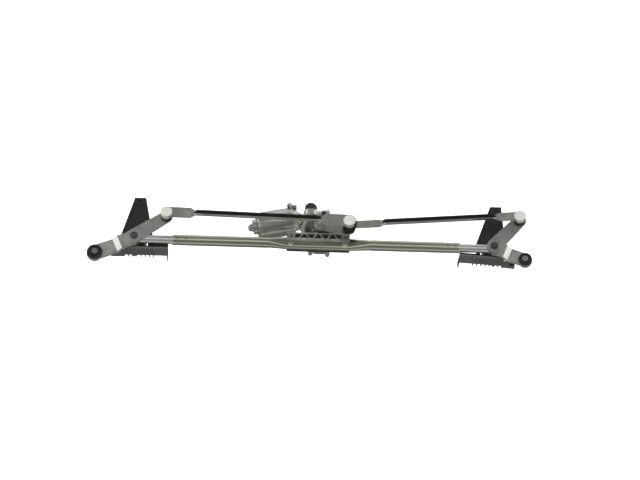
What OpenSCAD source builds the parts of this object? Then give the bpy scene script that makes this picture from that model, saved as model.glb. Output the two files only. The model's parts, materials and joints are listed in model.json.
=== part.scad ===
// Windshield wiper assembly: tubular frame, geared motor, crank, link rods and levers.
// X runs along the frame tube, Y points away from the viewer of the levers, Z points up.
// Sub-parts are drawn about the frame tube's axis; in_row_frame() then moves them so that
// the origin is where the isolator spigot leaves the gear cover, below the output shaft.

/* [Frame tube] */
// Outer diameter of the frame tube
tube_d = 22; // [20:0.5:24]
// Wall thickness of the frame tube
tube_wall = 2; // [1.5:0.1:2.5]
// Height of the tube where it is flattened over the motor
tube_flat_h = 13; // [12:0.5:14]
// Left end of the tube, along X
tube_left_x = -300; // [-305:1:-295]
// Right end of the tube, along X
tube_right_x = 284; // [280:1:290]

/* [Pivots] */
// Left wiper shaft, along X
left_pivot_x = -381; // [-383:0.5:-379]
// Right wiper shaft, along X
right_pivot_x = 357.5; // [356:0.5:360]
// Diameter of a wiper shaft
pivot_shaft_d = 12; // [11:0.5:13]
// Outer diameter of a pivot housing
housing_d = 26; // [24:0.5:28]

/* [Levers] */
// Lever length, centre to centre
lever_len = 80; // [80:1:80]
// Thickness of a lever
lever_t = 4.5; // [4:0.25:5]
// Angle of the left lever at rest
left_lever_deg = 36.2; // [36.2:0.1:36.2]
// Angle of the right lever at rest
right_lever_deg = 50.2; // [50.2:0.1:50.2]

/* [Motor and crank] */
// Output shaft, along X
shaft_x = 1; // [1:0.5:1]
// Output shaft behind the tube's axis, along Y
shaft_y = 39; // [39:0.5:39]
// Crank length, centre to centre
crank_len = 58.8; // [58.8:0.1:58.8]
// Angle of the crank at rest
crank_deg = -7; // [-7:1:-7]
// Angle of the worm shaft, seen from above
motor_deg = 12.4; // [12.4:0.1:12.4]
// Radius of the motor can
can_r = 28.5; // [27:0.5:29]
// Teeth on the worm wheel
wheel_teeth = 54; // [54:1:54]
// Module of the worm and its wheel
gear_module = 1.25; // [1.25:0.05:1.25]

/* [Ball joints] */
// Diameter of the balls
ball_d = 15; // [14:0.5:16]
// Outer diameter of a ball socket
socket_d = 22; // [21:0.5:23]

/* [Mounting eyes] */
// Hole in a grommet sleeve
sleeve_bore_d = 6.8; // [6.4:0.1:8]
// Outer diameter of the left grommet
left_grommet_d = 33; // [30:0.5:34]
// Outer diameter of the right grommet
right_grommet_d = 29; // [28:0.5:32]

/* [Hidden] */
$fn = 48;
eps = 0.01;

// Heights above the tube's axis
housing_top = 8;
housing_bottom = -44;
lever_z = 9.5;
lever_top = lever_z + lever_t;
lever_ball_z = 27;
crank_z = 7;
crank_t = 5;
crank_top = crank_z + crank_t;
lower_ball_z = 24;
upper_ball_z = 39;
plate_top = -6.6;
plate_bottom = -10.6;
worm_z = -24;
cover_z = -38;
base_z = -41;

// Fits
press = 0.02;
running = 0.05;
socket_gap = 0.1;
stud_gap = 0.3;

// Crank pin and lever balls at rest
crank_pin = [shaft_x + crank_len * cos(crank_deg), shaft_y + crank_len * sin(crank_deg)];
left_ball = [left_pivot_x + lever_len * cos(left_lever_deg), lever_len * sin(left_lever_deg)];
right_ball = [right_pivot_x + lever_len * cos(right_lever_deg), lever_len * sin(right_lever_deg)];

// Gear mesh
wheel_r = gear_module * wheel_teeth / 2;
worm_r = 5.2;
worm_offset = wheel_r + worm_r + 0.4;
worm_pitch = PI * gear_module;
wheel_wave = 1.15;

// Mounting eyes, from their pivots
left_eye = [-79.6, -33];
right_eye = [63.8, -22];
eye_top = -1;
eye_bottom = -8;
grommet_top = 4;
grommet_bottom = -13;

// ---- Helpers ----

module in_row_frame() {
    translate([-shaft_x, -shaft_y, -base_z]) children();
}

module at_shaft() {
    in_row_frame() translate([shaft_x, shaft_y, 0]) children();
}

// The worm shaft lies along local X here, at local Y 0 and Z 0.
module at_worm() {
    at_shaft() rotate([0, 0, motor_deg]) translate([0, worm_offset, worm_z]) children();
}

module along_x(x0, x1, r) {
    translate([x0, 0, 0]) rotate([0, 90, 0]) cylinder(h = x1 - x0, r = r);
}

module ring(z0, z1, outer_r, inner_r) {
    difference() {
        translate([0, 0, z0]) cylinder(h = z1 - z0, r = outer_r);
        translate([0, 0, z0 - 1]) cylinder(h = z1 - z0 + 2, r = inner_r);
    }
}

module block(low, high) {
    translate(low) cube(high - low);
}

// Flat bar outline with round ends of two radii, from the origin along X
module bar_outline(r0, r1, len) {
    lean = asin((r0 - r1) / len);
    circle(r = r0);
    translate([len, 0]) circle(r = r1);
    polygon([
        [r0 * sin(lean), r0 * cos(lean)],
        [len + r1 * sin(lean), r1 * cos(lean)],
        [len + r1 * sin(lean), -r1 * cos(lean)],
        [r0 * sin(lean), -r0 * cos(lean)]
    ]);
}

// Turned part about X: points are [radius, x]
module turned_x(points) {
    rotate([0, 90, 0]) rotate_extrude() polygon(points);
}

// ---- Frame tube ----

crease_left = [-105, -69];
crease_right = [61, 105];
rivet_x = [-60, 51];
rivet_y = -3;

tube_sides = 48;
crease_reach = 2;
crease_step = 0.45;

// One point of the tube's round section, and the same point once it is flattened to a
// height h with its perimeter kept
function round_point(i, r) = let (a = 360 * (i + 0.5) / tube_sides) r * [cos(a), sin(a)];
function flat_point(i, h, w) = let (a = 360 * (i + 0.5) / tube_sides)
    [sign(cos(a)) * w / 2 + h / 2 * cos(a), h / 2 * sin(a)];

// Flattened middle, which runs a little way into the round ends and is a shade slimmer there
module squeezed_middle(r, h) {
    flat_w = PI * (tube_d - tube_flat_h) / 2;
    xs = [crease_left[0] - crease_reach, crease_left[0], crease_left[1],
        crease_right[0], crease_right[1], crease_right[1] + crease_reach];
    flat = [false, false, true, true, false, false];
    n = tube_sides;
    polyhedron(
        points = [for (k = [0:5], i = [0:n - 1])
            let (at = flat[k] ? flat_point(i, h, flat_w) : round_point(i, r)) [xs[k], at[0], at[1]]],
        faces = concat(
            [[for (i = [0:n - 1]) i]],
            [[for (i = [0:n - 1]) 5 * n + n - 1 - i]],
            [for (k = [0, 2, 4], i = [0:n - 1])
                [k * n + (i + 1) % n, k * n + i, (k + 1) * n + i, (k + 1) * n + (i + 1) % n]],
            [for (k = [1, 3], i = [0:n - 1]) [k * n + (i + 1) % n, k * n + i, (k + 1) * n + i]],
            [for (k = [1, 3], i = [0:n - 1])
                [k * n + (i + 1) % n, (k + 1) * n + i, (k + 1) * n + (i + 1) % n]]
        )
    );
}

// Solid tube; grow is negative for the inside
module tube_body(grow) {
    r = tube_d / 2 + grow;
    along_x(tube_left_x + min(grow, 0), crease_left[0], r);
    squeezed_middle(r - crease_step, tube_flat_h + 2 * grow);
    along_x(crease_right[1], tube_right_x - min(grow, 0), r);
}

module crimp_dimples(x0, x1) {
    for (x = [x0, x1], turn = [0:60:300])
        rotate([turn + 20, 0, 0]) translate([x, 0, tube_d / 2 + 3.4]) rotate([0, 90, 0])
            sphere(r = 4.7, $fn = 24);
}

module frame_tube() {
    color("#8d8f7c") in_row_frame() difference() {
        tube_body(0);
        tube_body(-tube_wall);
        crimp_dimples(-292, -274);
        crimp_dimples(262, 276);
        for (x = rivet_x)
            translate([x, rivet_y, -20]) cylinder(h = 40, r = 4.1);
    }
}

module tube_rivets() {
    color("#a8a9a4") in_row_frame() for (x = rivet_x) translate([x, rivet_y, 0]) {
        translate([0, 0, plate_bottom - 0.02]) cylinder(h = tube_flat_h / 2 - plate_bottom + 0.04, r = 4);
        translate([0, 0, tube_flat_h / 2 + 0.02]) cylinder(h = 2.2, r1 = 5.2, r2 = 4);
        translate([0, 0, plate_bottom - 2.22]) cylinder(h = 2.2, r1 = 4, r2 = 5.2);
    }
}

// ---- Centre bracket ----

bracket_x = [-68, 61];
truss_y = [3, 22.6];
truss_x = [-47, 40];
truss_bays = 6;
truss_top = 6.75;
strap_top = 8.4;
strap_end_y = 16;
tube_back_y = 13.8;
rail_w = [4.6, 3.4];
rib_w = 2.2;
rib_foot = 2.6;
rib_hole_x = [-58.5, 51];
rib_hole_y = 16;
rib_hole_r = 5.6;
screw_turns = [185, 75, -5];
screw_circle_r = 26;
housing_clear_r = 13;

// Two long rails with a zigzag of ribs between them, and an eye near each end
module truss_pattern(z_top) {
    bay = (truss_x[1] - truss_x[0]) / truss_bays;
    rise = truss_y[1] - truss_y[0] - (rail_w[0] + rail_w[1]) / 2;
    run = bay - 2 * rib_foot;
    mid_y = (truss_y[0] + rail_w[0] + truss_y[1] - rail_w[1]) / 2;
    z0 = plate_top - 1;
    block([bracket_x[0], truss_y[0], z0], [bracket_x[1], truss_y[0] + rail_w[0], z_top]);
    block([bracket_x[0], truss_y[1] - rail_w[1], z0], [bracket_x[1], truss_y[1], z_top]);
    for (i = [0:truss_bays - 1])
        translate([truss_x[0] + bay * (i + 0.5), mid_y, z0])
            rotate([0, 0, (i % 2 == 0 ? 1 : -1) * atan2(rise, run)])
            translate([-norm([run, rise]) / 2, -rib_w / 2, 0])
            cube([norm([run, rise]), rib_w, z_top - z0 - 0.3]);
    for (x = rib_hole_x)
        translate([x, rib_hole_y, z0]) cylinder(h = z_top - z0, r = rib_hole_r + 2.3);
}

// The pattern stands behind the tube and laps over its back edge as a thin strap.
module truss() {
    difference() {
        union() {
            truss_pattern(truss_top);
            intersection() {
                truss_pattern(strap_top);
                block([-100, -20, -20], [100, strap_end_y, 20]);
            }
        }
        block([-100, -20, -20], [100, tube_back_y, tube_flat_h / 2 + 0.1]);
    }
}

module center_bracket() {
    color("#b4b6b0") in_row_frame() difference() {
        union() {
            block([bracket_x[0], -13, plate_bottom], [bracket_x[1], truss_y[1], plate_top]);
            translate([shaft_x, shaft_y, plate_bottom]) cylinder(h = plate_top - plate_bottom, r = 33);
            truss();
            for (turn = [205:26:335])
                translate([shaft_x, shaft_y, plate_top - 1]) rotate([0, 0, turn])
                    translate([housing_clear_r + 1, -1.1, 0]) cube([6, 2.2, 9]);
        }
        translate([shaft_x, shaft_y, -20]) cylinder(h = 30, r = housing_clear_r);
        for (x = rivet_x)
            translate([x, rivet_y, -20]) cylinder(h = 20, r = 4.1);
        for (x = rib_hole_x)
            translate([x, rib_hole_y, -20]) cylinder(h = 40, r = rib_hole_r);
        for (turn = screw_turns)
            translate([shaft_x, shaft_y, -20]) rotate([0, 0, turn]) translate([screw_circle_r, 0, 0])
            cylinder(h = 30, r = 2.7);
    }
}

module bracket_screws() {
    color("#5a5c58") at_shaft() for (turn = screw_turns)
        rotate([0, 0, turn]) translate([screw_circle_r, 0, 0]) {
            translate([0, 0, plate_bottom - 4]) cylinder(h = 4.02 + plate_top - plate_bottom, r = 2.5);
            difference() {
                translate([0, 0, plate_top + 0.02]) cylinder(h = 4, r = 5);
                translate([0, 0, plate_top + 2.2]) cylinder(h = 3, r = 2.9, $fn = 6);
            }
        }
}

// ---- Pivot housings, bushes and mounting eyes ----

spigot_r = 8.7;
bush_outer_r = 8;

module arm(eye, eye_r, joggle_s) {
    reach = norm(eye);
    rotate([0, 0, atan2(eye[1], eye[0])]) intersection() {
        translate([0, 0, -20]) linear_extrude(40) bar_outline(15, eye_r, reach);
        translate([0, 40, 0]) rotate([90, 0, 0]) linear_extrude(80) polygon([
            [0, 2], [0, housing_top], [joggle_s, housing_top],
            [joggle_s + 10, eye_top], [reach + 20, eye_top],
            [reach + 20, eye_bottom], [joggle_s + 7, eye_bottom], [joggle_s - 3, 2]
        ]);
    }
}

// Housing at the origin; side is -1 with the tube to the right, and 1 with it to the left
module pivot_housing(side, spigot_len, spigot_free, eye, eye_d, neck_r, joggle_s) {
    difference() {
        union() {
            translate([0, 0, housing_bottom]) cylinder(h = housing_top - housing_bottom, d = housing_d);
            translate([0, 0, housing_bottom]) cylinder(h = 6, d = housing_d + 2);
            arm(eye, eye_d / 2 - 0.5, joggle_s);
            rotate([0, 0, side < 0 ? 0 : 180]) {
                along_x(0, spigot_len, spigot_r);
                along_x(spigot_free - 3, spigot_free - 0.2, tube_d / 2);
                for (lean = [-1, 1])
                    translate([0, lean * 5.5 - 1.5, -18]) cube([22, 3, 14]);
                translate([8, -1.75, -24]) cube([18, 3.5, 16]);
            }
        }
        translate([0, 0, housing_bottom - 1]) cylinder(h = 60, r = bush_outer_r + press);
        translate([eye[0], eye[1], eye_bottom - 1]) cylinder(h = 20, r = neck_r + press);
        translate([0, 0, housing_top]) cylinder(h = 10, r = 10.5);
    }
}

module pivot_housing_left() {
    color("#b2b4ae") in_row_frame() translate([left_pivot_x, 0, 0])
        pivot_housing(-1, 118, tube_left_x - left_pivot_x, left_eye, left_grommet_d, 12, 32);
}

module pivot_housing_right() {
    color("#b2b4ae") in_row_frame() translate([right_pivot_x, 0, 0])
        pivot_housing(1, 104, right_pivot_x - tube_right_x, right_eye, right_grommet_d, 10.5, 24);
}

module pivot_bushes() {
    for (z0 = [housing_bottom, housing_top - 14])
        ring(z0, z0 + 14, bush_outer_r, pivot_shaft_d / 2 + running);
}

module pivot_bushes_left() {
    color("#b08d57") in_row_frame() translate([left_pivot_x, 0, 0]) pivot_bushes();
}

module pivot_bushes_right() {
    color("#b08d57") in_row_frame() translate([right_pivot_x, 0, 0]) pivot_bushes();
}

module grommet(outer_r, neck_r) {
    difference() {
        union() {
            translate([0, 0, eye_bottom]) cylinder(h = eye_top - eye_bottom, r = neck_r);
            translate([0, 0, eye_top + 0.02]) cylinder(h = grommet_top - eye_top - 0.02, r1 = outer_r, r2 = outer_r - 1.6);
            translate([0, 0, grommet_bottom]) cylinder(h = eye_bottom - grommet_bottom - 0.02, r1 = outer_r - 1.6, r2 = outer_r);
            translate([0, 0, eye_bottom - 0.1]) cylinder(h = eye_top - eye_bottom + 0.2, r = neck_r);
        }
        translate([0, 0, grommet_bottom - 1]) cylinder(h = 30, r = 6 + press);
        translate([0, 0, grommet_top - 1.6]) ring(0, 3, outer_r - 4.5, 8.6);
    }
}

module grommet_left() {
    color("#1d1d1d") in_row_frame() translate([left_pivot_x + left_eye[0], left_eye[1], 0])
        grommet(left_grommet_d / 2, 12);
}

module grommet_right() {
    color("#1d1d1d") in_row_frame() translate([right_pivot_x + right_eye[0], right_eye[1], 0])
        grommet(right_grommet_d / 2, 10.5);
}

module grommet_sleeve() {
    ring(grommet_bottom - 0.5, grommet_top + 0.5, 6, sleeve_bore_d / 2);
}

module grommet_sleeve_left() {
    color("#c9c9c4") in_row_frame() translate([left_pivot_x + left_eye[0], left_eye[1], 0])
        grommet_sleeve();
}

module grommet_sleeve_right() {
    color("#c9c9c4") in_row_frame() translate([right_pivot_x + right_eye[0], right_eye[1], 0])
        grommet_sleeve();
}

// ---- Cowl brackets ----

tongue_top = -14;
tongue_t = 3;
skirt_len = 91;
skirt_ribs = 8;
rib_step = 8.6;

// X runs inboard from the skirt's outboard end; back_y is how far it reaches in under the tube
module skirt(back_y) {
    wall_y = [-16.5, -14];
    block([0, wall_y[0], -38], [skirt_len, wall_y[1], -6]);
    block([0, -14.5, tongue_top - tongue_t], [skirt_len, back_y, tongue_top]);
    for (i = [0:skirt_ribs - 1])
        translate([i * rib_step, -19, -41]) cube([2.4, 3, 33]);
    block([skirt_len - 2.4, -18, -56], [skirt_len, back_y, tongue_top]);
    block([-13, -17, -44], [0.5, -13, -22]);
    block([-26, -17.5, -44], [-12, -6, -37]);
}

// The tip's recess goes only part of the way through.
module tongue(outline, recess) {
    difference() {
        translate([0, 0, tongue_top - tongue_t]) linear_extrude(tongue_t) polygon(outline);
        translate([recess[0], recess[1], tongue_top - 2]) cylinder(h = 5, r = 3);
        translate([0, 0, tongue_top - 1]) linear_extrude(2) offset(delta = -4) intersection() {
            polygon(outline);
            translate([-60, 16]) square([120, 77]);
        }
    }
    translate([0, 0, tongue_top - 9]) cylinder(h = 12, r = housing_d / 2 + 3);
}

// Clears the housing and the ribs under its spigot; side is 1 with the spigot towards +X
module housing_room(side) {
    translate([0, 0, -60]) cylinder(h = 100, r = housing_d / 2 + 0.1);
    translate([side * 19, 0, -20]) cube([18, 15, 30], center = true);
}

left_tongue = [[-28, -15], [-28, 16], [-2, 106], [21, 106], [29, 62], [37.2, 19], [37.2, -15]];
left_tip_recess = [8.5, 97.5];
right_tongue = [[-36.5, -15], [-36.7, 20], [-9.5, 108], [13.5, 108], [23.5, 17], [23.5, -15]];
right_tip_recess = [2.5, 99.5];
right_skirt_tilt = 6;

module cowl_bracket_left() {
    color("#232323") in_row_frame() translate([left_pivot_x, 0, 0]) difference() {
        union() {
            tongue(left_tongue, left_tip_recess);
            translate([-21, 0, 0]) skirt(0);
        }
        housing_room(1);
    }
}

module cowl_bracket_right() {
    color("#232323") in_row_frame() translate([right_pivot_x, 0, 0]) difference() {
        union() {
            tongue(right_tongue, right_tip_recess);
            translate([22, 0, -3]) rotate([0, right_skirt_tilt, 0]) mirror([1, 0, 0]) skirt(-6);
        }
        housing_room(-1);
    }
}

// ---- Gear housing ----

gear_case_r = 40;
gear_case_top = plate_bottom - 0.1;
gear_cavity_r = 37.5;
gear_cavity_top = -15;
tunnel_r = 12.5;
tunnel_bore_r = 7.6;
tunnel_end = 27;
neck_s = [-52.6, -30];
neck_r = 21.5;
flange_r = 28;
ear_turns = [130, 310];
ear_out = 32.4;
ear_r = 6.2;
vent_x = -21.4;
cover_screw_turns = [-20, -70, -118, 155, 20];
cover_screw_r = 43;
lug_r = 5;

module worm_tunnel() {
    along_x(neck_s[0] + 2, tunnel_end, tunnel_r);
    turned_x([[0, neck_s[0]], [flange_r, neck_s[0]], [flange_r, neck_s[0] + 3], [neck_r, neck_s[0] + 4],
        [neck_r, -43], [tunnel_r - 1, neck_s[1]], [0, neck_s[1]]]);
    can_ears(neck_s[0] + 0.1, neck_s[0] + 4.2);
}

// Ears for the screws that hold the motor can
module can_ears(s0, s1) {
    for (turn = ear_turns)
        rotate([turn, 0, 0]) translate([0, 0, ear_out]) along_x(s0, s1, ear_r);
}

module gear_housing() {
    color("#bcbdb8") difference() {
        union() {
            at_shaft() {
                translate([0, 0, cover_z]) cylinder(h = gear_case_top - cover_z, r = gear_case_r);
                translate([0, 0, -16]) cylinder(h = 20.5, r = 12);
                for (turn = cover_screw_turns)
                    rotate([0, 0, turn]) translate([cover_screw_r, 0, cover_z + 0.3])
                        cylinder(h = 15.7, r = lug_r);
                block([-14, -48, -26], [13, -36, -11.5]);
                for (turn = [95:17:130])
                    rotate([0, 0, turn]) translate([36, -1.2, gear_case_top - 1]) cube([6, 2.4, 6]);
                translate([vent_x, 33.3, -14.4]) rotate([-90, 0, 0]) cylinder(h = 11.7, r = 14.4);
            }
            at_worm() worm_tunnel();
        }
        at_shaft() {
            translate([0, 0, cover_z - 1]) cylinder(h = gear_cavity_top - cover_z + 1, r = gear_cavity_r);
            translate([0, 0, -20]) cylinder(h = 40, r = 8.5 + press);
            for (turn = cover_screw_turns)
                rotate([0, 0, turn]) translate([cover_screw_r, 0, cover_z - 1]) cylinder(h = 13, r = 2.02);
            for (turn = screw_turns)
                rotate([0, 0, turn]) translate([screw_circle_r, 0, -14.62]) cylinder(h = 10, r = 2.52);
            for (x = [-9, 4])
                block([x, -50, -23], [x + 4.5, -44, -14]);
            translate([vent_x, 45, -14.4]) rotate([-90, 0, 0]) cylinder(h = 20, r = 12.6);
        }
        at_worm() {
            along_x(neck_s[0] - 1, tunnel_end - 4, tunnel_bore_r);
            turned_x([[0, neck_s[0] - 1], [19, neck_s[0] - 1], [19, -44],
                [tunnel_bore_r - 1, neck_s[1] - 4], [0, neck_s[1] - 4]]);
            for (turn = ear_turns)
                rotate([turn, 0, 0]) translate([0, 0, ear_out]) along_x(neck_s[0] - 1, -40, 2);
        }
    }
}

module gear_cover() {
    color("#a9aaa6") at_shaft() difference() {
        union() {
            translate([0, 0, base_z]) cylinder(h = cover_z - base_z - 0.02, r = gear_case_r);
            for (turn = cover_screw_turns)
                rotate([0, 0, turn]) translate([cover_screw_r, 0, base_z])
                    cylinder(h = cover_z - base_z - 0.02, r = lug_r);
            translate([0, 0, base_z - 14]) cylinder(h = 14 + eps, r = 6);
            for (turn = [15:30:345])
                rotate([0, 0, turn]) translate([12, -1, base_z - 1.2]) cube([22, 2, 1.2 + eps]);
        }
        for (turn = cover_screw_turns)
            rotate([0, 0, turn]) translate([cover_screw_r, 0, base_z - 1]) cylinder(h = 6, r = 2.2);
    }
}

module cover_screws() {
    color("#5a5c58") at_shaft() for (turn = cover_screw_turns)
        rotate([0, 0, turn]) translate([cover_screw_r, 0, base_z]) {
            translate([0, 0, -1]) cylinder(h = 13, r = 2);
            difference() {
                translate([0, 0, -3]) cylinder(h = 3 - 0.02, r = 4);
                translate([0, 0, -4]) cylinder(h = 2.6, r = 2.2, $fn = 6);
            }
        }
}

module isolator() {
    color("#1a1a1a") at_shaft() difference() {
        union() {
            translate([0, 0, base_z - 15]) cylinder(h = 15, r = 10);
            translate([0, 0, base_z - 17]) cylinder(h = 2, r1 = 8, r2 = 10);
        }
        translate([0, 0, base_z - 14.02]) cylinder(h = 15, r = 6 + press);
    }
}

module output_bush() {
    color("#b08d57") at_shaft() ring(-15, 4.5, 8.5, 6 + running);
}

module shaft_seal() {
    color("#1a1a1a") at_shaft() ring(4.52, 6.6, 11, 6.4);
}

module vent_cap() {
    color("#161616") at_shaft() translate([vent_x, 45.02, -14.4]) rotate([-90, 0, 0]) rotate_extrude() polygon([
        [0, 0], [12.4, 0], [12.4, 11], [11.6, 14], [9.6, 16.4], [6.4, 17.8], [0, 18.2]
    ]);
}

module drain_clip() {
    color("#141414") at_shaft() difference() {
        block([1, 33.5, plate_bottom + eps], [11, 39.5, -0.5]);
        block([3.5, 32, -6], [8.5, 41, -2.8]);
    }
}

// ---- Motor ----

can_s = [-124.6, -52.62];
can_wall = 1.6;
armature_r = 19.6;

module motor_can() {
    inner_r = can_r - can_wall;
    color("#b9bab4") at_worm() difference() {
        union() {
            turned_x([
                [0, -144], [5, -144], [6, -143], [8, -138], [9, -134.5], [15, -133.4], [15.4, -126],
                [can_r - 2, can_s[0]], [can_r, can_s[0] + 2], [can_r, -114.6], [can_r - 0.8, -114],
                [can_r - 0.8, -112.6], [can_r, -112], [can_r, can_s[1]], [0, can_s[1]]
            ]);
            can_ears(can_s[1] - 2.4, can_s[1] - 0.1);
        }
        turned_x([
            [0, -142.5], [5.4, -142.5], [5.4, -134], [13.8, -131.8], [13.8, -124], [inner_r - 2, -123],
            [inner_r, -121], [inner_r, -50], [0, -50]
        ]);
        for (turn = ear_turns)
            rotate([turn, 0, 0]) translate([0, 0, ear_out]) along_x(-60, -50, 2);
    }
}

// Screws through the can's ears into the gear housing's ears
module can_screws() {
    color("#5a5c58") at_worm() for (turn = ear_turns)
        rotate([turn, 0, 0]) translate([0, 0, ear_out]) {
            along_x(-55.2, -46, 1.95);
            along_x(-58, -55.04, 3.6);
        }
}

module motor_magnets() {
    color("#3a3a3a") at_worm() for (turn = [0, 180])
        rotate([turn, 0, 0]) intersection() {
            difference() {
                along_x(-109, -71, can_r - can_wall - 0.05);
                along_x(-110, -70, armature_r + 1);
            }
            translate([-110, -30, 9]) cube([40, 60, 30]);
        }
}

module end_bearing() {
    color("#b08d57") at_worm() difference() {
        along_x(-141.5, -134.5, 5.38);
        along_x(-142, -134, 4.1);
    }
}

module brush_card() {
    color("#2b2b2b") at_worm() difference() {
        along_x(-57.5, -54.5, can_r - can_wall - 0.1);
        along_x(-58, -54, 10.5);
    }
}

module brushes() {
    color("#262626") at_worm() for (turn = [0, 180])
        rotate([turn, 0, 0]) translate([-66, -3, 9.35]) cube([7.5, 6, 9]);
}

connector_low = [-67.5, 50, -42];
connector_high = [-50.8, 64, -20];
plug_low = [-65.5, 56, -34];
plug_high = [-52.8, 62, -19];

// The foot is hollowed to sit against the motor can.
module connector_housing() {
    color("#8f908b") difference() {
        at_shaft() block(connector_low, connector_high);
        at_shaft() block(plug_low, plug_high);
        at_worm() along_x(-80, -30, can_r + 0.1);
    }
}

module connector_pins() {
    color("#c2a04a") at_shaft() for (x = [-62.9, -59.4, -55.9])
        block([x, 58.4, plug_low[2] + 0.02], [x + 0.8, 59.6, -26]);
}

// ---- Crank ----

module output_shaft() {
    color("#9b9c98") at_shaft() {
        translate([0, 0, -35]) cylinder(h = crank_z + 35, r = 6);
        translate([0, 0, crank_z]) cylinder(h = crank_t, r1 = 6, r2 = 5);
        translate([0, 0, crank_top]) cylinder(h = 9, r = 5);
        translate([0, 0, crank_top + 9]) cylinder(h = 0.8, r1 = 5, r2 = 4.2);
    }
}

function wheel_wave_r(turn) = wheel_r + wheel_wave * cos(wheel_teeth * (turn - 90));

module worm_wheel() {
    samples = 8;
    color("#e4e0d2") at_shaft() rotate([0, 0, motor_deg]) difference() {
        union() {
            translate([0, 0, worm_z - 5]) linear_extrude(10) polygon([
                for (i = [0:wheel_teeth * samples - 1])
                    let (turn = 360 * i / (wheel_teeth * samples))
                    wheel_wave_r(turn) * [cos(turn), sin(turn)]
            ]);
            translate([0, 0, worm_z - 8]) cylinder(h = 15.5, r = 12);
        }
        for (side = [-1, 1])
            translate([0, 0, worm_z + side * 5]) ring(-2, 2, 27, 15);
        translate([0, 0, worm_z - 20]) cylinder(h = 40, r = 6 + press);
    }
}

module crank_arm() {
    color("#7d7f7a") at_shaft() rotate([0, 0, crank_deg]) difference() {
        union() {
            translate([0, 0, crank_z]) linear_extrude(crank_t) bar_outline(13, 12, crank_len);
            translate([0, 0, crank_z]) cylinder(h = crank_t, r = 13);
            translate([crank_len, 0, crank_z]) cylinder(h = crank_t, r = 12);
        }
        translate([0, 0, crank_z - eps]) cylinder(h = crank_t + 2 * eps, r1 = 6.02, r2 = 5.02);
        translate([crank_len, 0, crank_z - 1]) cylinder(h = crank_t + 2, r = 5.5 + press);
    }
}

module crank_nut() {
    color("#c7c8c3") at_shaft() difference() {
        union() {
            translate([0, 0, crank_top + 1.5]) cylinder(h = 6.5, r = 9.2, $fn = 6);
            translate([0, 0, crank_top + 0.02]) cylinder(h = 1.5, r = 10);
        }
        translate([0, 0, crank_top - 1]) cylinder(h = 12, r = 5 + press);
    }
}

module crank_ball_stud() {
    color("#b7b8b3") in_row_frame() translate([crank_pin[0], crank_pin[1], 0]) {
        translate([0, 0, crank_z - 1.2]) cylinder(h = 1.2, r = 7);
        translate([0, 0, crank_z - eps]) cylinder(h = crank_t + 2 * eps, r = 5.5);
        translate([0, 0, crank_top]) cylinder(h = 2, r = 8);
        translate([0, 0, crank_top + 2 - eps]) cylinder(h = upper_ball_z - crank_top - 4, r = 4);
        translate([0, 0, lower_ball_z]) sphere(d = ball_d);
        translate([0, 0, upper_ball_z]) sphere(d = ball_d);
    }
}

// ---- Link rods ----

channel_w = 10.5;
channel_h = 7.3;
rod_t = 2.4;
wall_t = 1.6;
end_w = 23.7;
plate_rise = 4;
crank_plate_rise_right = 1.5;
emboss_h = 0.9;

// Local X runs from the crank pin's ball to the lever's ball.
module along_rod(ball_z, to, to_z) {
    span = [to[0] - crank_pin[0], to[1] - crank_pin[1], to_z - ball_z];
    flat = norm([span[0], span[1]]);
    in_row_frame() translate([crank_pin[0], crank_pin[1], ball_z])
        rotate([0, 0, atan2(span[1], span[0])]) rotate([0, -atan2(span[2], flat), 0]) children();
}

function rod_len(ball_z, to, to_z) =
    norm([to[0] - crank_pin[0], to[1] - crank_pin[1], to_z - ball_z]);

left_rod_len = rod_len(upper_ball_z, left_ball, lever_ball_z);
right_rod_len = rod_len(lower_ball_z, right_ball, lever_ball_z);

// Outline of a rod seen from above: each end is [plate half width, plate length, neck length]
module rod_outline(len, near, far) {
    half = channel_w / 2;
    near_r = max(near[0], end_w / 2);
    circle(r = near_r);
    translate([len, 0]) circle(r = end_w / 2);
    polygon([
        [0, near_r], [12, near[0]], [near[1], near[0]], [near[2], half],
        [len - far[2], half], [len - far[1], far[0]], [len - 12, far[0]], [len, end_w / 2],
        [len, -end_w / 2], [len - 12, -far[0]], [len - far[1], -far[0]], [len - far[2], -half],
        [near[2], -half], [near[1], -near[0]], [12, -near[0]], [0, -near_r]
    ]);
}

// The flat web steps down at the crank end by drop, between two stations
module link_rod(len, near, far, drop, step_at) {
    z0 = plate_rise;
    difference() {
        union() {
            intersection() {
                translate([0, 0, -20]) linear_extrude(60) rod_outline(len, near, far);
                translate([0, 40, 0]) rotate([90, 0, 0]) linear_extrude(80) polygon([
                    [-20, z0 - drop], [step_at[0], z0 - drop], [step_at[1], z0], [len + 20, z0],
                    [len + 20, z0 + rod_t], [step_at[1], z0 + rod_t],
                    [step_at[0], z0 - drop + rod_t], [-20, z0 - drop + rod_t]
                ]);
            }
            for (side = [-1, 1])
                translate([0, side * (channel_w - wall_t) / 2 + wall_t / 2, 0]) rotate([90, 0, 0])
                linear_extrude(wall_t) polygon([
                    [near[2] - 6, z0], [len - far[2] + 6, z0], [len - far[2] - 4, z0 + channel_h],
                    [near[2] + 4, z0 + channel_h]
                ]);
        }
        translate([0, 0, -20]) cylinder(h = 40, r = socket_d / 2 + press);
        translate([len, 0, -20]) cylinder(h = 40, r = socket_d / 2 + press);
    }
}

left_near = [13.6, 50, 60];
left_far = [11.8, 50, 60];
right_near = [8.4, 62, 70];
right_far = [9.5, 42, 52];

module link_rod_left() {
    top = plate_rise + rod_t;
    color("#74766f") along_rod(upper_ball_z, left_ball, lever_ball_z) {
        difference() {
            link_rod(left_rod_len, left_near, left_far, 0, [70, 71]);
            translate([left_rod_len - 26, 0, top - 1]) cylinder(h = 3, r = 2.2);
        }
        // Pressed panel on the crank's end
        translate([23, -8.5, top - eps]) cube([23, 17, emboss_h + eps]);
    }
}

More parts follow.
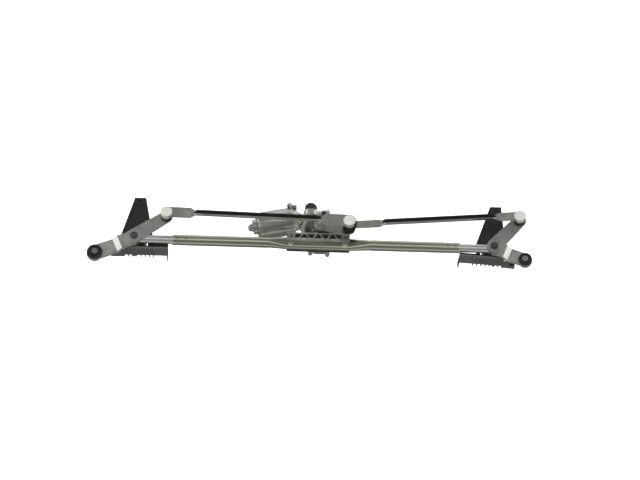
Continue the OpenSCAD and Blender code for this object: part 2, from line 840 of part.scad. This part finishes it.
module link_rod_right() {
    color("#74766f") along_rod(lower_ball_z, right_ball, lever_ball_z)
        link_rod(right_rod_len, right_near, right_far, plate_rise - crank_plate_rise_right, [64, 72]);
}

// Ball socket at the origin. An open socket lets the stud pass on to the next ball.
module socket(rise, open_top) {
    top = open_top ? 5.4 : 6.6;
    difference() {
        union() {
            translate([0, 0, -5.5]) cylinder(h = top + 5.5, d = socket_d);
            translate([0, 0, rise + rod_t + 0.02]) cylinder(h = max(top - rise - rod_t, 0.8), r = 12.2);
            if (!open_top)
                translate([0, 0, top - eps]) cylinder(h = 2, r1 = 11.8, r2 = 10.4);
            translate([0, 0, rise - 1.2]) cylinder(h = 1.18, r = 12.2);
        }
        sphere(r = ball_d / 2 + socket_gap);
        translate([0, 0, -7]) cylinder(h = 3, r1 = 7.4, r2 = 5.2);
        if (open_top)
            translate([0, 0, 3.9]) cylinder(h = 3, r1 = 5.2, r2 = 7.4);
    }
}

module socket_crank_left() {
    color("#e9e8e0") along_rod(upper_ball_z, left_ball, lever_ball_z) socket(plate_rise, false);
}

module socket_lever_left() {
    color("#e9e8e0") along_rod(upper_ball_z, left_ball, lever_ball_z)
        translate([left_rod_len, 0, 0]) socket(plate_rise, false);
}

module socket_crank_right() {
    color("#e9e8e0") along_rod(lower_ball_z, right_ball, lever_ball_z)
        socket(crank_plate_rise_right, true);
}

module socket_lever_right() {
    color("#e9e8e0") along_rod(lower_ball_z, right_ball, lever_ball_z)
        translate([right_rod_len, 0, 0]) socket(plate_rise, false);
}

boot_bore_r = 5.3;

module boot(wide_r) {
    difference() {
        union() {
            translate([0, 0, -7.4]) cylinder(h = 1.88, r = wide_r);
            translate([0, 0, -8.6]) cylinder(h = 1.2 + eps, r1 = 8, r2 = 10);
        }
        translate([0, 0, -10]) cylinder(h = 8, r = boot_bore_r);
    }
}

module boots_left() {
    color("#1b1b1b") along_rod(upper_ball_z, left_ball, lever_ball_z) {
        difference() {
            translate([0, 0, -7.4]) cylinder(h = 1.88, r = 15.5);
            translate([0, 0, -10]) cylinder(h = 8, r = boot_bore_r);
        }
        translate([left_rod_len, 0, 0]) boot(11.5);
    }
}

module boots_right() {
    color("#1b1b1b") along_rod(lower_ball_z, right_ball, lever_ball_z) {
        difference() {
            translate([0, 0, -7.4]) cylinder(h = 1.88, r = 13.5);
            translate([0, 0, -10]) cylinder(h = 8, r = boot_bore_r);
        }
        translate([right_rod_len, 0, 0]) boot(11.5);
    }
}

// The stud's collar stands stud_gap clear of the lever.
module lever_ball_stud(at) {
    in_row_frame() translate([at[0], at[1], 0]) {
        translate([0, 0, lever_top + stud_gap]) cylinder(h = 2.4, r = 7);
        translate([0, 0, lever_top + stud_gap + 2]) cylinder(h = 8, r = 4);
        translate([0, 0, lever_ball_z]) sphere(d = ball_d);
    }
}

module lever_ball_stud_left() {
    color("#b7b8b3") lever_ball_stud(left_ball);
}

module lever_ball_stud_right() {
    color("#b7b8b3") lever_ball_stud(right_ball);
}

// ---- Levers and wiper shafts ----

shaft_bottom = -66;
thread_len = 12;
taper_len = 6;
lever_hole_r = 6.5;
lever_pivot_r = 15.5;
lever_ball_r = 13;

module lever_blank(squared) {
    difference() {
        union() {
            linear_extrude(lever_t) bar_outline(lever_pivot_r, lever_ball_r, lever_len);
            cylinder(h = lever_t, r = lever_pivot_r);
            translate([lever_len, 0, 0]) cylinder(h = lever_t, r = lever_ball_r);
            if (squared)
                linear_extrude(lever_t)
                    polygon([[-15, -9], [-9, -15.5], [6, -15.4], [6, 15.4], [-9, 15.5], [-15, 9]]);
        }
        translate([0, 0, -1]) cylinder(h = 10, r = lever_hole_r);
    }
}

module lever_left() {
    color("#7c7e78") in_row_frame() translate([left_pivot_x, 0, lever_z])
        rotate([0, 0, left_lever_deg]) lever_blank(true);
}

module lever_right() {
    color("#7c7e78") in_row_frame() translate([right_pivot_x, 0, lever_z])
        rotate([0, 0, right_lever_deg]) lever_blank(false);
}

module pivot_shaft() {
    thread_top = shaft_bottom + thread_len;
    taper_top = thread_top + taper_len;
    translate([0, 0, shaft_bottom]) cylinder(h = thread_len, r = 4);
    translate([0, 0, thread_top - eps]) cylinder(h = taper_len + 2 * eps, r1 = 5, r2 = pivot_shaft_d / 2);
    difference() {
        translate([0, 0, taper_top]) cylinder(h = lever_z - taper_top, d = pivot_shaft_d);
        ring(housing_bottom - 2.6, housing_bottom - 1.2, 10, 5.3);
    }
    translate([0, 0, lever_z - eps]) cylinder(h = lever_t + eps, r = lever_hole_r - press);
    translate([0, 0, lever_top + 0.02]) cylinder(h = 1.6, r = 8.2, $fn = 12);
    translate([0, 0, lever_top - eps]) cylinder(h = 2.6, r = 5.8);
}

module pivot_shaft_left() {
    color("#3e403c") in_row_frame() translate([left_pivot_x, 0, 0]) pivot_shaft();
}

module pivot_shaft_right() {
    color("#3e403c") in_row_frame() translate([right_pivot_x, 0, 0]) pivot_shaft();
}

module retaining_rings() {
    ring(housing_bottom - 1.15, housing_bottom - 0.25, 9, pivot_shaft_d / 2 + press);
    ring(housing_bottom - 2.55, housing_bottom - 1.25, 8, 5.3 + press);
    ring(housing_top + 0.25, lever_z - 0.02, 9.5, pivot_shaft_d / 2 + press);
}

module retaining_rings_left() {
    color("#6d6f6a") in_row_frame() translate([left_pivot_x, 0, 0]) retaining_rings();
}

module retaining_rings_right() {
    color("#6d6f6a") in_row_frame() translate([right_pivot_x, 0, 0]) retaining_rings();
}

// ---- Armature ----

worm_s = [-12, 12];

module armature_shaft() {
    color("#a4a5a1") at_worm() {
        along_x(-141, -58, 4);
        along_x(-58 - eps, worm_s[0] + eps, 4);
        along_x(worm_s[1] - eps, 22.5, 4);
        // An off-centre round section, twisted along the shaft, gives a single-start worm.
        rotate([0, 90, 0]) translate([0, 0, worm_s[0]])
            linear_extrude(worm_s[1] - worm_s[0], twist = -360 * (worm_s[1] - worm_s[0]) / worm_pitch,
                slices = 72, convexity = 8)
            rotate(360 * worm_s[0] / worm_pitch) translate([0, gear_module]) circle(r = worm_r, $fn = 14);
    }
}

module armature_core() {
    slots = 10;
    color("#8a4b2a") at_worm() difference() {
        along_x(-109, -73, armature_r);
        along_x(-110, -72, 4 + press);
        for (i = [0:slots - 1])
            rotate([i * 360 / slots, 0, 0]) translate([-110, -1, armature_r - 4]) cube([39, 2, 5]);
    }
}

module commutator() {
    color("#b87333") at_worm() difference() {
        along_x(-71, -58.5, 9.2);
        along_x(-72, -58, 4 + press);
    }
}

frame_tube();
tube_rivets();
center_bracket();
bracket_screws();
pivot_housing_left();
pivot_housing_right();
pivot_bushes_left();
pivot_bushes_right();
grommet_left();
grommet_right();
grommet_sleeve_left();
grommet_sleeve_right();
cowl_bracket_left();
cowl_bracket_right();
gear_housing();
gear_cover();
cover_screws();
isolator();
output_bush();
shaft_seal();
vent_cap();
drain_clip();
motor_can();
can_screws();
motor_magnets();
end_bearing();
brush_card();
brushes();
connector_housing();
connector_pins();
output_shaft();
worm_wheel();
crank_arm();
crank_nut();
crank_ball_stud();
link_rod_left();
socket_crank_left();
socket_lever_left();
boots_left();
lever_ball_stud_left();
link_rod_right();
socket_crank_right();
socket_lever_right();
boots_right();
lever_ball_stud_right();
lever_left();
pivot_shaft_left();
retaining_rings_left();
lever_right();
pivot_shaft_right();
retaining_rings_right();
armature_shaft();
armature_core();
commutator();
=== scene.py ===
"""Windshield wiper assembly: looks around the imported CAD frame. Metres, row frame."""
import json
import math

import bmesh
import bpy
from mathutils import Matrix, Vector


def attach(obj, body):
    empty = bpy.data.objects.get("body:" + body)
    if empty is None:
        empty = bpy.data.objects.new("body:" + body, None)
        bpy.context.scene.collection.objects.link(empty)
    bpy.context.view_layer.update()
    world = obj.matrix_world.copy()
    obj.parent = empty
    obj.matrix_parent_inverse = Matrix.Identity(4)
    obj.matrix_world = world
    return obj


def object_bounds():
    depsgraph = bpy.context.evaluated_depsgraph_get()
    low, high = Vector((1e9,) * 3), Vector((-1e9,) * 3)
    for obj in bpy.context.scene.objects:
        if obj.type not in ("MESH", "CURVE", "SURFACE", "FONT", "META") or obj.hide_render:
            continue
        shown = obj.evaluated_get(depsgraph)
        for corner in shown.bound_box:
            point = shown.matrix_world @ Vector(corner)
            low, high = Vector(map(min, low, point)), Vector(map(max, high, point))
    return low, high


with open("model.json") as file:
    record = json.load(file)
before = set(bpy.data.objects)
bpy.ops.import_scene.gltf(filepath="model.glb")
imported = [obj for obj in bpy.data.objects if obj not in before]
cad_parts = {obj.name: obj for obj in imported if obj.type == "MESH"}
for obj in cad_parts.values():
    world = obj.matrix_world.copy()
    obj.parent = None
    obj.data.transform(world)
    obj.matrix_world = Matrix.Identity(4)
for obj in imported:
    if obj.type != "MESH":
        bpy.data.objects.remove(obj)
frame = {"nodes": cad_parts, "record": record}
cad_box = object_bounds()
nodes = frame["nodes"]
MM = 0.001
NOISE_ROUGHNESS = 0.55
BUMP_DEPTH = 0.2 * MM


# ---- Materials ----

def new_material(name):
    mat = bpy.data.materials.new(name)
    mat.use_nodes = True
    tree = mat.node_tree
    shader = tree.nodes["Principled BSDF"]
    return mat, tree, shader


def socket(shader, name, value):
    shader.inputs[name].default_value = value


def object_coords(tree, scale=(1, 1, 1)):
    coords = tree.nodes.new("ShaderNodeTexCoord")
    mapping = tree.nodes.new("ShaderNodeMapping")
    mapping.inputs["Scale"].default_value = scale
    tree.links.new(coords.outputs["Object"], mapping.inputs["Vector"])
    return mapping.outputs["Vector"]


def noise(tree, vector, scale, detail):
    node = tree.nodes.new("ShaderNodeTexNoise")
    node.inputs["Scale"].default_value = scale
    node.inputs["Detail"].default_value = detail
    node.inputs["Roughness"].default_value = NOISE_ROUGHNESS
    tree.links.new(vector, node.inputs["Vector"])
    return node.outputs["Fac"]


def ramp(tree, value, stops):
    """Colour ramp; stops are (position, colour) pairs."""
    node = tree.nodes.new("ShaderNodeValToRGB")
    elements = node.color_ramp.elements
    while len(elements) < len(stops):
        elements.new(0.5)
    for element, (position, colour) in zip(elements, stops):
        element.position = position
        element.color = (*colour, 1) if len(colour) == 3 else colour
    tree.links.new(value, node.inputs["Fac"])
    return node.outputs["Color"]


def grey(value):
    return (value, value, value)


def mix_colour(tree, factor, first, second):
    node = tree.nodes.new("ShaderNodeMix")
    node.data_type = "RGBA"
    for name, value in (("Factor", factor), ("A", first), ("B", second)):
        # Inputs of every data type share these names: the first Factor is the plain one, the last A and B
        # that pass here are the colours.
        target = [s for s in node.inputs if s.name == name and s.type in ("VALUE", "RGBA")]
        target = target[0] if name == "Factor" else target[-1]
        if hasattr(value, "links"):
            tree.links.new(value, target)
        else:
            target.default_value = value if name == "Factor" else (*value, 1)
    return [s for s in node.outputs if s.type == "RGBA"][0]


def bump(tree, shader, height, strength):
    node = tree.nodes.new("ShaderNodeBump")
    node.inputs["Strength"].default_value = strength
    node.inputs["Distance"].default_value = BUMP_DEPTH
    tree.links.new(height, node.inputs["Height"])
    tree.links.new(node.outputs["Normal"], shader.inputs["Normal"])


def metal(name, dark, light, rough, grain=900, streak=(1, 1, 1), bump_strength=0.15):
    """Plated or bare metal: mottled colour, uneven gloss and fine grain."""
    mat, tree, shader = new_material(name)
    vector = object_coords(tree, streak)
    mottle = noise(tree, vector, 45, 6)
    fine = noise(tree, vector, grain, 3)
    colour = ramp(tree, mottle, [(0.3, dark), (0.7, light)])
    tree.links.new(colour, shader.inputs["Base Color"])
    gloss = ramp(tree, mottle, [(0.25, grey(rough[0])), (0.75, grey(rough[1]))])
    tree.links.new(gloss, shader.inputs["Roughness"])
    socket(shader, "Metallic", 1.0)
    bump(tree, shader, fine, bump_strength)
    return mat


def moulded(name, dark, light, rough, grain=1400, strength=0.25):
    """Moulded plastic or rubber with a fine texture."""
    mat, tree, shader = new_material(name)
    vector = object_coords(tree)
    mottle = noise(tree, vector, 60, 5)
    fine = noise(tree, vector, grain, 2)
    tree.links.new(ramp(tree, mottle, [(0.3, dark), (0.7, light)]), shader.inputs["Base Color"])
    gloss = ramp(tree, fine, [(0.3, grey(rough[0])), (0.7, grey(rough[1]))])
    tree.links.new(gloss, shader.inputs["Roughness"])
    bump(tree, shader, fine, strength)
    return mat


def maths(tree, operation, first, second=0.0):
    node = tree.nodes.new("ShaderNodeMath")
    node.operation = operation
    for target, value in zip(node.inputs, (first, second)):
        if hasattr(value, "links"):
            tree.links.new(value, target)
        else:
            target.default_value = value
    return node.outputs[0]


def step_between(tree, value, low, high):
    """0 below low, 1 above high."""
    node = tree.nodes.new("ShaderNodeMapRange")
    node.inputs["From Min"].default_value = low
    node.inputs["From Max"].default_value = high
    tree.links.new(value, node.inputs["Value"])
    return node.outputs["Result"]


def position(tree, axis):
    coords = tree.nodes.new("ShaderNodeTexCoord")
    split = tree.nodes.new("ShaderNodeSeparateXYZ")
    tree.links.new(coords.outputs["Object"], split.inputs[0])
    return split.outputs[axis]


def recolour(mat, mask, colour, rough):
    """Blends another colour and gloss over a material where the mask is 1."""
    tree = mat.node_tree
    shader = tree.nodes["Principled BSDF"]
    for name, value in (("Base Color", colour), ("Roughness", grey(rough))):
        old = shader.inputs[name].links[0].from_socket
        tree.links.new(mix_colour(tree, mask, old, value), shader.inputs[name])


MATERIALS = {
    "zinc_tube": metal("zinc_tube", (0.46, 0.48, 0.37), (0.62, 0.64, 0.52), (0.17, 0.25),
                       grain=1200, streak=(0.12, 1, 1)),
    "zinc_steel": metal("zinc_steel", (0.62, 0.62, 0.58), (0.80, 0.80, 0.77), (0.2, 0.34)),
    "lever_steel": metal("lever_steel", (0.55, 0.56, 0.51), (0.70, 0.70, 0.66), (0.3, 0.42)),
    "rod_steel": metal("rod_steel", (0.60, 0.61, 0.56), (0.76, 0.76, 0.71), (0.26, 0.38)),
    "dark_steel": metal("dark_steel", (0.10, 0.10, 0.09), (0.24, 0.24, 0.22), (0.35, 0.5)),
    "can_steel": metal("can_steel", (0.48, 0.49, 0.46), (0.61, 0.61, 0.58), (0.26, 0.36), grain=1500),
    "cast_metal": metal("cast_metal", (0.68, 0.68, 0.64), (0.90, 0.90, 0.86), (0.26, 0.42),
                        grain=700, bump_strength=0.5),
    "bronze": metal("bronze", (0.45, 0.30, 0.14), (0.60, 0.44, 0.24), (0.35, 0.5)),
    "brass_pins": metal("brass_pins", (0.70, 0.52, 0.22), (0.82, 0.66, 0.34), (0.2, 0.3)),
    "windings": metal("windings", (0.35, 0.13, 0.05), (0.55, 0.24, 0.11), (0.25, 0.4)),
    "ferrite": moulded("ferrite", (0.03, 0.03, 0.03), (0.06, 0.06, 0.06), (0.5, 0.7)),
    "rubber": moulded("rubber", (0.010, 0.010, 0.010), (0.020, 0.020, 0.019), (0.42, 0.62), grain=900),
    "black_plastic": moulded("black_plastic", (0.009, 0.009, 0.008), (0.016, 0.016, 0.015), (0.45, 0.6)),
    "grey_plastic": moulded("grey_plastic", (0.34, 0.34, 0.32), (0.46, 0.46, 0.44), (0.4, 0.55)),
    "white_plastic": moulded("white_plastic", (0.62, 0.61, 0.57), (0.72, 0.71, 0.67), (0.3, 0.42),
                             grain=500, strength=0.1),
}


SOFTEN_ABOVE = math.radians(35)


def paint(obj, slot_name):
    obj.data.materials.clear()
    obj.data.materials.append(MATERIALS[slot_name])


def soften(obj, width):
    """Small rounded edges on a CAD node."""
    modifier = obj.modifiers.new("edge", "BEVEL")
    modifier.width = width
    modifier.segments = 2
    modifier.limit_method = "ANGLE"
    modifier.angle_limit = SOFTEN_ABOVE
    modifier.harden_normals = True


def own_material(node_name, suffix):
    """Gives one node its own copy of its material, to be changed without touching the others."""
    obj = nodes[node_name]
    mat = obj.data.materials[0].copy()
    mat.name = obj.data.materials[0].name + suffix
    obj.data.materials[0] = mat
    return mat


for part in frame["record"]["subparts"]:
    paint(nodes[part["node"]], part["material_slot"])

# Painted shade: the floor of each rod's channel is painted dark between its two flat ends, standing in
# for the shade inside the channel.
CRANK_PIN = Vector((0.0583617, -0.0071659, 0))
LEVER_BALLS = {"left": Vector((-0.3174428, 0.0082482, 0)), "right": Vector((0.4077077, 0.0224627, 0))}
# Length left without the painted shade at the crank end and at the lever end
UNSHADED_ENDS = {"left": (0.056, 0.056), "right": (0.066, 0.048)}
# How far the painted shade reaches past the rod's centre line, towards the front
SHADE_EDGE = {"left": -0.0016, "right": -0.0030}
SHADE_FADE = 0.004
SHADE_EDGE_FADE = 0.0004


def distance_along(tree, origin, direction):
    """Distance from origin along a level direction, at each point of the surface."""
    over_x = maths(tree, "SUBTRACT", position(tree, "X"), origin.x)
    over_y = maths(tree, "SUBTRACT", position(tree, "Y"), origin.y)
    part_x = maths(tree, "MULTIPLY", over_x, direction.x)
    part_y = maths(tree, "MULTIPLY", over_y, direction.y)
    return maths(tree, "ADD", part_x, part_y)


def opposite(tree, mask):
    return maths(tree, "SUBTRACT", 1.0, mask)


def both(tree, first, second):
    return maths(tree, "MULTIPLY", first, second)


def faces_up(tree):
    geometry = tree.nodes.new("ShaderNodeNewGeometry")
    split = tree.nodes.new("ShaderNodeSeparateXYZ")
    tree.links.new(geometry.outputs["True Normal"], split.inputs[0])
    return step_between(tree, split.outputs["Z"], 0.5, 0.7)


def painted_shade_in_channel(side):
    # Painted shade inside the rod's channel.
    mat = own_material("link_rod_" + side, "_" + side)
    tree = mat.node_tree
    along = LEVER_BALLS[side] - CRANK_PIN
    length = along.length
    along.normalize()
    to_back = Vector((-along.y, along.x, 0)) * math.copysign(1, along.x)
    near, far = UNSHADED_ENDS[side]
    run = distance_along(tree, CRANK_PIN, along)
    past_near = step_between(tree, run, near, near + SHADE_FADE)
    past_far = step_between(tree, run, length - far - SHADE_FADE, length - far)
    edge = SHADE_EDGE[side]
    across = distance_along(tree, CRANK_PIN, to_back)
    back_part = step_between(tree, across, edge - SHADE_EDGE_FADE, edge + SHADE_EDGE_FADE)
    channel = both(tree, past_near, opposite(tree, past_far))
    shaded = both(tree, both(tree, channel, faces_up(tree)), back_part)
    # Painted shade: near-black on the up-facing channel floor, standing in for the shade inside the
    # channel.
    recolour(mat, shaded, (0.05, 0.05, 0.05), 0.5)


def painted_light_on_skirt(side):
    """Painted light: the front of a cowl bracket is painted a lighter grey, standing in for the light its
    black plastic reflects; its tongue, at the back, stays black.
    """
    mat = own_material("cowl_bracket_" + side, "_" + side)
    behind = step_between(mat.node_tree, position(mat.node_tree, "Y"), -0.0545, -0.0525)
    # Painted light: lighter grey on the front part, standing in for reflected light.
    recolour(mat, opposite(mat.node_tree, behind), (0.15, 0.15, 0.145), 0.5)


def painted_shade_in_bracket():
    """Painted shade: the pockets of the centre bracket are painted dark below a height, standing in for
    the shade inside them.
    """
    mat = own_material("center_bracket", "_bracket")
    above = step_between(mat.node_tree, position(mat.node_tree, "Z"), 0.033, 0.040)
    # Painted shade: dark colour low in the pockets, standing in for the shade inside them.
    recolour(mat, opposite(mat.node_tree, above), (0.10, 0.10, 0.09), 0.6)


for side in ("left", "right"):
    painted_shade_in_channel(side)
    painted_light_on_skirt(side)
painted_shade_in_bracket()

# Width of the rounded edges, in mm
SOFT_EDGES = {"lever_left": 0.5, "lever_right": 0.5, "crank_arm": 0.5, "connector_housing": 0.4,
              "crank_nut": 0.4, "isolator": 0.8, "drain_clip": 0.4}
for name, width in SOFT_EDGES.items():
    soften(nodes[name], width * MM)


# ---- Small turned and pressed parts that the frame leaves out ----

SEGMENTS = 72
SAME_POINT = 1e-6
SHARP_ABOVE = math.radians(40)


def profile_ring(mesh, profile, turn):
    """The profile's points in the half-plane at this turn."""
    across = math.cos(turn) * MM
    up = math.sin(turn) * MM
    return [mesh.verts.new((r * across, r * up, h * MM)) for r, h in profile]


def turned(name, profile, centre, axis, body, slot_name):
    """A closed ring or disc turned round axis; profile is a loop of (radius, height) in mm."""
    mesh = bmesh.new()
    rings = [profile_ring(mesh, profile, 2 * math.pi * step / SEGMENTS) for step in range(SEGMENTS)]
    for step in range(SEGMENTS):
        here, after = rings[step], rings[(step + 1) % SEGMENTS]
        for i in range(len(profile)):
            k = (i + 1) % len(profile)
            mesh.faces.new((here[i], after[i], after[k], here[k]))
    bmesh.ops.remove_doubles(mesh, verts=mesh.verts, dist=SAME_POINT)
    bmesh.ops.recalc_face_normals(mesh, faces=mesh.faces)
    data = bpy.data.meshes.new(name)
    mesh.to_mesh(data)
    mesh.free()
    obj = bpy.data.objects.new(name, data)
    bpy.context.scene.collection.objects.link(obj)
    obj.location = Vector(centre) * MM
    obj.rotation_euler = Vector(axis).to_track_quat("Z", "Y").to_euler()
    bpy.context.view_layer.update()
    paint(obj, slot_name)
    for polygon in data.polygons:
        polygon.use_smooth = True
    data.set_sharp_from_angle(angle=SHARP_ABOVE)
    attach(obj, body)


BEAD_DEPTH = 0.2


def bead(radius, thick, height):
    """Profile of a rounded bead standing on a face at that height, sunk a little into it."""
    steps = [math.radians(a) for a in range(0, 181, 30)]
    top = [(radius + thick * math.cos(a), height + thick * math.sin(a)) for a in steps]
    return top + [(radius - thick, height - BEAD_DEPTH), (radius + thick, height - BEAD_DEPTH)]


UP = (0, 0, 1)
CAN_AXIS = Vector((0.976672, 0.214735, 0)).normalized()
# A point on the can's axis, its radius and the places of its two rings along the axis, in mm
CAN_ORIGIN = Vector((-8.4498, 38.4321, 17.0))
CAN_R = 28.5
CAN_RINGS = {"can_crimp_ring": -57.0, "can_rim_line": -110.0}
CAN_RING_PROFILE = [(CAN_R - 0.05, -1.0), (CAN_R + 0.45, -0.7), (CAN_R + 0.6, 0.0), (CAN_R + 0.45, 0.7),
                    (CAN_R - 0.05, 1.0)]
# Centres of the mounting eyes, the height of the grommets' top faces and their raised rings, in mm
EYES = {"left": (-461.6, -72.0), "right": (420.3, -61.0)}
GROMMET_TOP = 45.0
LIP_RADII = {"inner": 8.6, "outer": 12.2}
LIP_THICK = 0.8
WASHER_PROFILE = [(7.0, 53.02), (12.2, 53.02), (12.6, 53.3), (12.6, 54.0), (12.2, 54.4), (7.0, 54.4)]
# A moulding gate stands in the middle of each white ball cap, sunk a little into its top.
GATE_PROFILE = [(0.0, -0.15), (1.9, -0.15), (1.9, 0.25), (1.5, 0.5), (0.0, 0.5)]
CAPS = {"crank": (CRANK_PIN, 88.9, "left_rod"), "left": (LEVER_BALLS["left"], 76.9, "left_rod"),
        "right": (LEVER_BALLS["right"], 76.7, "right_rod")}

for side, (x, y) in EYES.items():
    for ring, radius in LIP_RADII.items():
        lip = bead(radius, LIP_THICK, GROMMET_TOP)
        turned(f"grommet_lip_{ring}_{side}", lip, (x, y, 0), UP, "frame", "rubber")

turned("crank_washer", WASHER_PROFILE, (0, 0, 0), UP, "crank", "zinc_steel")

for name, along in CAN_RINGS.items():
    turned(name, CAN_RING_PROFILE, CAN_ORIGIN + CAN_AXIS * along, CAN_AXIS, "frame", "can_steel")

for cap, (ball, top, body) in CAPS.items():
    turned(f"cap_gate_{cap}", GATE_PROFILE, (ball.x / MM, ball.y / MM, top), UP, body, "white_plastic")


# ---- Camera, floor and light ----

def look_at(obj, target, roll=0.0):
    direction = Vector(target) - obj.location
    turn = direction.to_track_quat("-Z", "Y").to_matrix().to_4x4()
    obj.matrix_world = Matrix.Translation(obj.location) @ turn @ Matrix.Rotation(roll, 4, "Z")


AIM = Vector((-0.001, -0.0317, 0.0452))
ELEVATION = math.radians(60)
# Far off, so that the view is nearly parallel
DISTANCE = 14
# Width of the view at the aim, in metres
VIEW_WIDTH = 1.312
SENSOR = 36
ROLL = math.radians(1.65)

camera_data = bpy.data.cameras.new("camera")
camera_data.sensor_width = SENSOR
camera_data.lens = SENSOR * DISTANCE / VIEW_WIDTH
camera = bpy.data.objects.new("camera", camera_data)
bpy.context.scene.collection.objects.link(camera)
camera.location = AIM + DISTANCE * Vector((0, -math.cos(ELEVATION), math.sin(ELEVATION)))
look_at(camera, AIM, ROLL)
bpy.context.scene.camera = camera

bpy.context.scene.view_settings.view_transform = "Standard"

# The floor lies well below, so that the object, which hangs from its mounts, throws no hard shadow.
FLOOR_DROP = 0.30
FLOOR_Z = cad_box[0].z - FLOOR_DROP
bpy.ops.mesh.primitive_plane_add(size=14, location=(0, 0, FLOOR_Z))
floor = bpy.context.object
floor.name = "floor"
floor_mat, floor_tree, floor_shader = new_material("floor")
socket(floor_shader, "Base Color", (0.92, 0.92, 0.92, 1))
socket(floor_shader, "Roughness", 0.9)
socket(floor_shader, "Emission Color", (1, 1, 1, 1))
socket(floor_shader, "Emission Strength", 0.8)
floor.data.materials.append(floor_mat)
floor.visible_glossy = False
floor.visible_diffuse = False


def area_light(name, location, size, power, glossy):
    data = bpy.data.lights.new(name, "AREA")
    data.shape = "RECTANGLE"
    data.size, data.size_y = size
    data.energy = power
    light = bpy.data.objects.new(name, data)
    bpy.context.scene.collection.objects.link(light)
    light.location = location
    look_at(light, AIM)
    light.visible_glossy = glossy


area_light("top_fill", (0.0, -0.6, 2.2), (3.0, 2.0), 40, False)
area_light("left_box", (-2.4, 0.1, 0.7), (2.4, 1.6), 8, True)
area_light("right_box", (2.4, 0.1, 0.7), (2.4, 1.6), 8, True)

# Brightness of the studio round the tube's axis, in degrees from straight up; minus is towards
# the camera's side. Soft strips of it draw the bright lines along the tube.
STUDIO = [(-180, 0.26), (-150, 0.20), (-118, 0.16), (-100, 0.62), (-88, 0.60), (-70, 0.26), (-46, 0.12),
          (-26, 0.34), (-8, 0.84), (4, 0.74), (18, 0.14), (42, 0.26), (60, 0.66), (84, 0.95),
          (102, 0.62), (130, 0.30), (180, 0.26)]


def studio_world():
    """Banded grey studio; the camera itself sees a white backdrop."""
    world = bpy.data.worlds.new("studio")
    bpy.context.scene.world = world
    world.use_nodes = True
    tree = world.node_tree
    coords = tree.nodes.new("ShaderNodeTexCoord")
    split = tree.nodes.new("ShaderNodeSeparateXYZ")
    tree.links.new(coords.outputs["Generated"], split.inputs[0])
    turn = maths(tree, "ARCTAN2", split.outputs["Y"], split.outputs["Z"])
    share = maths(tree, "ADD", maths(tree, "DIVIDE", turn, 2 * math.pi), 0.5)
    bands = ramp(tree, share, [(degrees / 360 + 0.5, grey(value)) for degrees, value in STUDIO])
    path = tree.nodes.new("ShaderNodeLightPath")
    seen = mix_colour(tree, path.outputs["Is Camera Ray"], bands, grey(1.0))
    tree.links.new(seen, tree.nodes["Background"].inputs["Color"])


studio_world()
